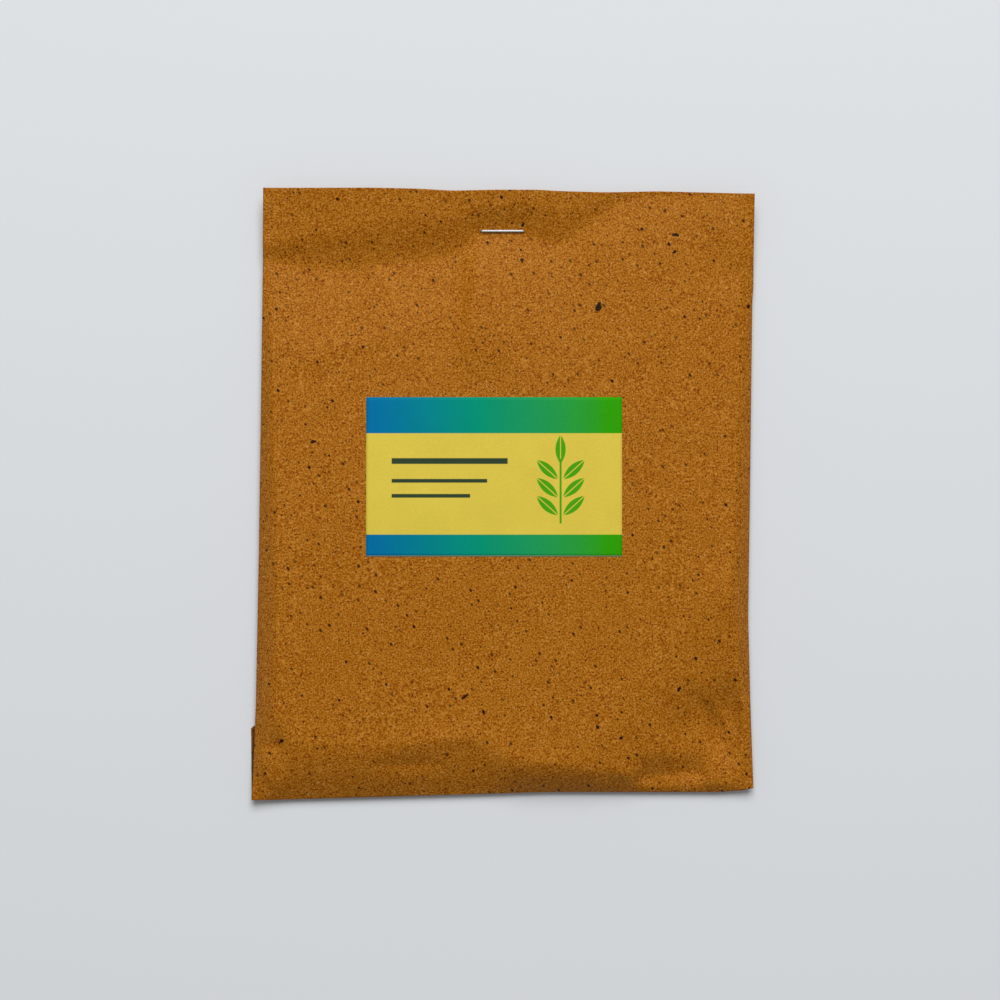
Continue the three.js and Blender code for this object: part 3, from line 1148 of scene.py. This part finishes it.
@dataclass
class PaperBag:
    """The bag: one paper blank folded at both sides, lapped behind, its lower end folded up."""

    relief: Relief
    finish: KraftPaper = field(default_factory=KraftPaper)
    front_columns: int = 150
    half_columns: int = 22
    rows: int = 190
    flap_rows: int = 12
    paper: float = 0.13
    glue: float = 0.03

    # Rough left end and width, for finding the heights of the outline's ends
    rough_left: float = -72.0
    rough_width: float = 146.0

    # Lap seam behind: overlap past the middle, and where the inner side steps in, as shares of a half
    lap: float = 6.0
    lap_start: float = 0.86
    lap_step: float = 0.06

    # Flap: height, how far it stands out at the left with its droop there, and how its corners are cut
    flap_height: float = 22.4
    flap_left: float = 1.4
    flap_droop: float = 1.5
    droop_start: float = 0.6
    droop_rate: float = 8.0
    flap_slant: float = 1.4
    slant_rate: float = 70.0
    flap_inset: float = 1.2
    inset_rate: float = 3.0

    @staticmethod
    def closer_at_ends(share: Grid, amount: float = 0.12) -> Grid:
        """Draws even steps together at both ends."""
        return share - amount * np.sin(math.tau * share)

    def face_of(self, column: Grid, row: Grid) -> dict[Face, Grid]:
        """Sorts the blank's vertices into its faces.

        Args:
            column: Column of each vertex.
            row: Row of each vertex, the flap's rows first.

        Returns:
            A mask for each face.
        """
        first = self.half_columns
        last = self.half_columns + self.front_columns
        flap = row < self.flap_rows
        return {
            Face.FLAP: flap,
            Face.BACK_LEFT: ~flap & (column < first),
            Face.BACK_RIGHT: ~flap & (column > last),
            Face.FRONT: ~flap & (column >= first) & (column <= last),
        }

    def plan(self, across: Grid, up: Grid) -> tuple[Grid, Grid]:
        """Finds the place in the outline for shares across and up.

        Args:
            across: Share of the way from the left edge to the right.
            up: Share of the way from the lower end to the mouth.

        Returns:
            X and Y.
        """
        outline = self.relief.outline
        rough_x = self.rough_left + self.rough_width * across
        low = outline.bottom.at(rough_x)
        y = low + (outline.top.at(rough_x) - low) * up
        left = outline.left.at(y)
        return left + (outline.right.at(y) - left) * across, y

    def folded(self, column: Grid, row: Grid) -> Grid:
        """Places every vertex of the blank on the folded bag.

        Args:
            column: Column of each vertex.
            row: Row of each vertex.

        Returns:
            Rows of X, Y, Z.
        """
        faces = self.face_of(column, row)
        half, wide = self.half_columns, self.front_columns
        up = self.closer_at_ends(clamp01((row - self.flap_rows) / self.rows))
        across = self.closer_at_ends(clamp01((column - half) / wide))
        seam = 0.5 + self.lap / self.rough_width
        left_share = (half - column) / half
        right_share = (column - half - wide) / half
        across = np.where(faces[Face.BACK_LEFT], seam * left_share, across)
        across = np.where(faces[Face.BACK_RIGHT], 1.0 - seam * right_share, across)
        x, y = self.plan(across, up)
        z = np.where(faces[Face.FRONT], self.relief.front(x, y), self.relief.back(x, y))
        stepped_in = faces[Face.BACK_LEFT] * smooth((left_share - self.lap_start) / self.lap_step)
        z = z + stepped_in * (self.paper + self.glue)
        flap = faces[Face.FLAP]
        x[flap], y[flap], z[flap] = self.flap(across[flap], 1.0 - row[flap] / self.flap_rows)
        return np.stack((x, y, z), axis=1)

    def flap(self, across: Grid, up: Grid) -> tuple[Grid, Grid, Grid]:
        """Places the flap behind the back panel.

        Args:
            across: Share of the way from the left edge to the right.
            up: Share of the flap's height, 0 at the fold.

        Returns:
            X, Y and Z of its outer face.
        """
        outline = self.relief.outline
        _, low = self.plan(across, np.zeros_like(across))
        y = low + up * (self.flap_height - self.flap_slant * (1.0 - clamp01(self.slant_rate * across)))
        fold = outline.left.at(y)
        left = fold - self.flap_left * up
        right = outline.right.at(y) - self.flap_inset * smooth(up * self.inset_rate)
        x = left + (right - left) * across
        out = np.maximum(fold + self.droop_start - x, 0.0) * smooth(up * self.droop_rate)
        z = self.relief.back(np.maximum(x, fold), y) - self.paper - self.glue
        return x, y, np.maximum(z - self.flap_droop * out, 0.0)

    def build(self) -> bpy.types.Object:
        """Folds the blank.

        Returns:
            The bag.
        """
        columns = self.front_columns + 2 * self.half_columns
        rows = self.rows + self.flap_rows
        bm = bmesh.new()
        bmesh.ops.create_grid(bm, x_segments=columns, y_segments=rows, size=0.5)
        blank = corners(bm)
        column = np.rint((blank[:, 0] + 0.5) * columns)
        row = np.rint((blank[:, 1] + 0.5) * rows)
        move_to(bm, self.folded(column, row))
        bm.verts.index_update()
        beside = (column < self.half_columns) | (column > self.half_columns + self.front_columns)
        spare = [
            face
            for face in bm.faces
            if all(row[v.index] <= self.flap_rows for v in face.verts)
            and any(beside[v.index] for v in face.verts)
        ]
        bmesh.ops.delete(bm, geom=spare, context="FACES")
        bag = make_object("kraft_bag", bm, self.finish.material(self.relief))
        add_wall(bag, self.paper, -1.0)
        return dress(bag, Slot.KRAFT, "paper_bag")


@dataclass
class Label:
    """The sticker on the front: a thin sheet that follows the paper under it."""

    relief: Relief
    finish: LabelPrint = field(default_factory=LabelPrint)
    columns: int = 75
    rows: int = 47
    stand_off: float = 0.04
    thick: float = 0.11

    def build(self) -> bpy.types.Object:
        """Lays the sticker on the front.

        Returns:
            The label.
        """
        bm = bmesh.new()
        bmesh.ops.create_grid(bm, x_segments=self.columns, y_segments=self.rows, size=0.5)
        bmesh.ops.scale(bm, vec=(*self.finish.size, 1.0), verts=bm.verts)
        bmesh.ops.translate(bm, vec=(*self.finish.middle, 0.0), verts=bm.verts)
        places = corners(bm)
        places[:, 2] = self.relief.front(places[:, 0], places[:, 1]) + self.stand_off
        move_to(bm, places)
        sticker = make_object("sticker_label", bm, self.finish.material())
        add_wall(sticker, self.thick, 1.0)
        return dress(sticker, Slot.LABEL, "label")


@dataclass
class Staple:
    """The staple: flat wire, its crown in front and its legs bent in behind."""

    relief: Relief
    finish: StapleSteel = field(default_factory=StapleSteel)
    middle: Point = (0.1, 77.8)
    width: float = 12.95
    wire: Point = (0.68, 0.5)
    clear: float = 0.03
    bend: float = 0.35
    bend_steps: int = 5
    leg_end: float = 5.2
    bevel: float = 0.17
    bevel_steps: int = 3
    sharp_angle: float = 1.0
    readings: tuple[int, int] = (27, 3)

    def half(self, bm: bmesh.types.BMesh, high: float, low: float) -> None:
        """Draws the wire from the middle of the crown to the end of the right leg.

        Args:
            bm: Mesh to add to.
            high: Height of the crown's wire, at its middle line.
            low: Height of the bent leg's wire, at its middle line.
        """
        wide, thick = self.wire
        bmesh.ops.create_grid(bm, x_segments=1, y_segments=1, size=0.5)
        bmesh.ops.scale(bm, vec=(thick, wide, 1.0), verts=bm.verts)
        upright = Matrix.Rotation(math.pi / 2, 3, "Y")
        bmesh.ops.rotate(bm, cent=(0, 0, 0), matrix=upright, verts=bm.verts)
        bmesh.ops.translate(bm, vec=(0, 0, high), verts=bm.verts)
        side = self.width / 2 - thick / 2 - self.bend
        run = self.pull(bm, bm.faces[:], (side, 0, 0))
        run = self.turn(bm, run, (side, 0, high - self.bend))
        run = self.pull(bm, run, (0, 0, low - high + 2 * self.bend))
        run = self.turn(bm, run, (side, 0, low + self.bend))
        self.pull(bm, run, (self.bend - self.leg_end, 0, 0))

    @staticmethod
    def pull(bm: bmesh.types.BMesh, run: list[Any], by: Triple) -> list[Any]:
        """Extrudes the wire's end straight.

        Args:
            bm: Mesh of the wire.
            run: Face at the wire's end.
            by: How far and which way.

        Returns:
            The new face at the end.
        """
        made = bmesh.ops.extrude_face_region(bm, geom=run)["geom"]
        bmesh.ops.translate(bm, vec=by, verts=[e for e in made if isinstance(e, bmesh.types.BMVert)])
        bmesh.ops.delete(bm, geom=run, context="FACES_ONLY")
        return [e for e in made if isinstance(e, bmesh.types.BMFace)]

    def turn(self, bm: bmesh.types.BMesh, run: list[Any], centre: Triple) -> list[Any]:
        """Spins the wire's end through a right angle.

        Args:
            bm: Mesh of the wire.
            run: Face at the wire's end.
            centre: Middle of the bend.

        Returns:
            The new face at the end.
        """
        made = bmesh.ops.spin(
            bm, geom=run, cent=centre, axis=(0, 1, 0), angle=math.pi / 2, steps=self.bend_steps
        )
        bmesh.ops.delete(bm, geom=run, context="FACES_ONLY")
        return [e for e in made["geom_last"] if isinstance(e, bmesh.types.BMFace)]

    def build(self) -> bpy.types.Object:
        """Bends the wire and sets it in the mouth.

        Returns:
            The staple.
        """
        wide, thick = self.wire
        across, upward = (
            middle + np.linspace(-span / 2, span / 2, count)
            for middle, span, count in zip(self.middle, (self.width, wide), self.readings)
        )
        x, y = np.meshgrid(across, upward)
        high = float(self.relief.front(x, y).max()) + self.clear + thick / 2
        low = float(self.relief.back(x, y).min()) - self.clear - thick / 2
        bm = bmesh.new()
        self.half(bm, high, low)
        everything = bm.verts[:] + bm.edges[:] + bm.faces[:]
        bmesh.ops.mirror(bm, geom=everything, axis="X", merge_dist=MERGE_DISTANCE)
        inner = [face for face in bm.faces if all(abs(v.co.x) < MERGE_DISTANCE for v in face.verts)]
        bmesh.ops.delete(bm, geom=inner, context="FACES_ONLY")
        bmesh.ops.remove_doubles(bm, verts=bm.verts, dist=MERGE_DISTANCE)
        bmesh.ops.recalc_face_normals(bm, faces=bm.faces)
        sharp = [e for e in bm.edges if e.is_manifold and e.calc_face_angle() > self.sharp_angle]
        bmesh.ops.bevel(
            bm,
            geom=sharp,
            offset=self.bevel,
            affect="EDGES",
            segments=self.bevel_steps,
            profile=0.5,
            material=-1,
        )
        bmesh.ops.translate(bm, vec=(*self.middle, 0.0), verts=bm.verts)
        wire = make_object("wire_staple", bm, self.finish.material())
        return dress(wire, Slot.STEEL, "staple")


@dataclass
class BayLeaves:
    """The dried leaves inside, one in the place of each leaf solid."""

    finish: DriedLeaf = field(default_factory=DriedLeaf)
    columns: int = 12
    rows: int = 44
    thick: float = 0.3
    stalk_share: float = 0.09
    stalk_half: float = 0.9
    blade_powers: Point = (0.85, 0.9)

    # Curl: height of the midrib, height and rate of the margin's ripples, lift off the solid's underside
    keel: float = 0.12
    ripple: Point = (0.06, 0.55)
    lift: float = 0.08

    # Half of the solid's thickness, and how the heights of its vertices are averaged
    solid_half: float = 0.3
    near: float = 0.5
    near_power: int = 4

    def names(self) -> list[str]:
        """Lists the leaf solids in order."""
        return sorted(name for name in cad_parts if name.startswith("bay_leaf_"))

    def half_width(self, share: Grid, width: float) -> Grid:
        """Gives the blade's half width along the leaf.

        Args:
            share: Share of the length from the stalk's end.
            width: Greatest width of the blade.

        Returns:
            Half widths.
        """
        ahead = clamp01((share - self.stalk_share) / (1.0 - self.stalk_share))
        stalk_power, tip_power = self.blade_powers
        blade = np.maximum(np.sin(math.pi * ahead**stalk_power), 0.0) ** tip_power
        return np.maximum(self.stalk_half, width / 2 * blade)

    def leaf(self, node: str, material: bpy.types.Material) -> bpy.types.Object:
        """Shapes one leaf in its solid's place.

        Args:
            node: Name of the solid.
            material: Finish of all the leaves.

        Returns:
            The leaf.
        """
        solid = np.array([vertex.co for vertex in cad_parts[node].data.vertices]) / MM
        middle = (solid.min(axis=0) + solid.max(axis=0)) / 2
        slope, _ = np.polyfit(solid[:, 1], solid[:, 0], 1)
        length = np.ptp(solid[:, 1])
        width = np.ptp(solid[:, 0]) - abs(slope) * length
        bm = bmesh.new()
        bm.loops.layers.uv.new("leaf")
        bmesh.ops.create_grid(bm, x_segments=self.columns, y_segments=self.rows, size=0.5, calc_uvs=True)
        grid = corners(bm)
        share, aside = grid[:, 1] + 0.5, grid[:, 0] * 2.0
        out = aside * self.half_width(share, width)
        upward = (share - 0.5) * length
        x = middle[0] + out + slope * upward
        y = middle[1] + upward
        margin = np.abs(aside)
        height, rate = self.ripple
        curl = self.keel * (1.0 - margin) + height * np.sin(upward * rate) * margin
        move_to(bm, np.stack((x, y, self.lowest(solid, x, y) + self.lift + curl), axis=1))
        made = make_object(f"dried_{node}", bm, material)
        add_wall(made, self.thick, 1.0)
        return dress(made, Slot.LEAF, node)

    def lowest(self, solid: Grid, x: Grid, y: Grid) -> Grid:
        """Finds the underside of a leaf solid near each place.

        Args:
            solid: Vertices of the solid.
            x: Places across.
            y: Places up.

        Returns:
            Averaged heights of the solid's nearest vertices, less half its thickness.
        """
        gap = np.hypot(x[:, None] - solid[None, :, 0], y[:, None] - solid[None, :, 1])
        weight = 1.0 / (gap + self.near) ** self.near_power
        return (weight * solid[None, :, 2]).sum(axis=1) / weight.sum(axis=1) - self.solid_half

    def build(self) -> list[bpy.types.Object]:
        """Shapes all the leaves.

        Returns:
            The leaves.
        """
        material = self.finish.material()
        return [self.leaf(node, material) for node in self.names()]


@dataclass
class Studio:
    """Pale floor, soft light and a camera that looks straight down."""

    finish: StudioPaper = field(default_factory=StudioPaper)
    floor_size: float = 6.0
    floor_cells: int = 8
    floor_drop: float = 0.02
    view_middle: Triple = (-0.00065, -0.00162, 0.002)
    view_width: float = 0.2954
    lens: float = 85.0
    sensor: float = 36.0
    lamp_size: float = 1.7
    lamp_distance: float = 2.2
    lamp_elevation: float = 50.0
    lamp_side: float = -4.0
    lamp_power: float = 45.5
    ambient: float = 0.26

    def floor(self) -> None:
        """Lays the floor."""
        bm = bmesh.new()
        cells = self.floor_cells
        bmesh.ops.create_grid(bm, x_segments=cells, y_segments=cells, size=self.floor_size / 2 / MM)
        bmesh.ops.translate(bm, vec=(0, 0, -self.floor_drop), verts=bm.verts)
        make_object("studio_floor", bm, self.finish.material())

    def light(self) -> None:
        """Hangs one large soft lamp beyond the mouth, and lights the room evenly."""
        lamp = bpy.data.lights.new("softbox", "AREA")
        lamp.shape = "DISK"
        lamp.size = self.lamp_size
        lamp.energy = self.lamp_power
        hung = bpy.data.objects.new("softbox", lamp)
        rise, side = math.radians(self.lamp_elevation), math.radians(self.lamp_side)
        level = math.cos(rise)
        away = Vector((-math.sin(side) * level, math.cos(side) * level, math.sin(rise)))
        hung.location = away * self.lamp_distance
        hung.rotation_euler = away.to_track_quat("Z", "Y").to_euler()
        bpy.context.collection.objects.link(hung)
        world = bpy.data.worlds.new("room")
        world.use_nodes = True
        background = next(node for node in world.node_tree.nodes if node.type == "BACKGROUND")
        background.inputs["Color"].default_value = (1.0, 1.0, 1.0, 1.0)
        background.inputs["Strength"].default_value = self.ambient
        bpy.context.scene.world = world

    def camera(self) -> None:
        """Sets the camera over the packet."""
        view = bpy.data.cameras.new("camera")
        view.lens = self.lens
        view.sensor_width = self.sensor
        stand = bpy.data.objects.new("camera", view)
        height = self.view_width * self.lens / self.sensor
        stand.location = Vector(self.view_middle) + Vector((0.0, 0.0, height))
        bpy.context.collection.objects.link(stand)
        bpy.context.scene.camera = stand
        bpy.context.scene.view_settings.view_transform = "Standard"

    def build(self) -> None:
        """Sets up the stage."""
        self.camera()
        self.light()
        self.floor()


def main() -> None:
    """Builds the packet and its stage."""
    logging.basicConfig(level=logging.INFO, format="%(name)s: %(message)s")
    relief = Relief()
    Studio().build()
    PaperBag(relief).build()
    Label(relief).build()
    Staple(relief).build()
    BayLeaves().build()


if __name__ == "__main__":
    main()
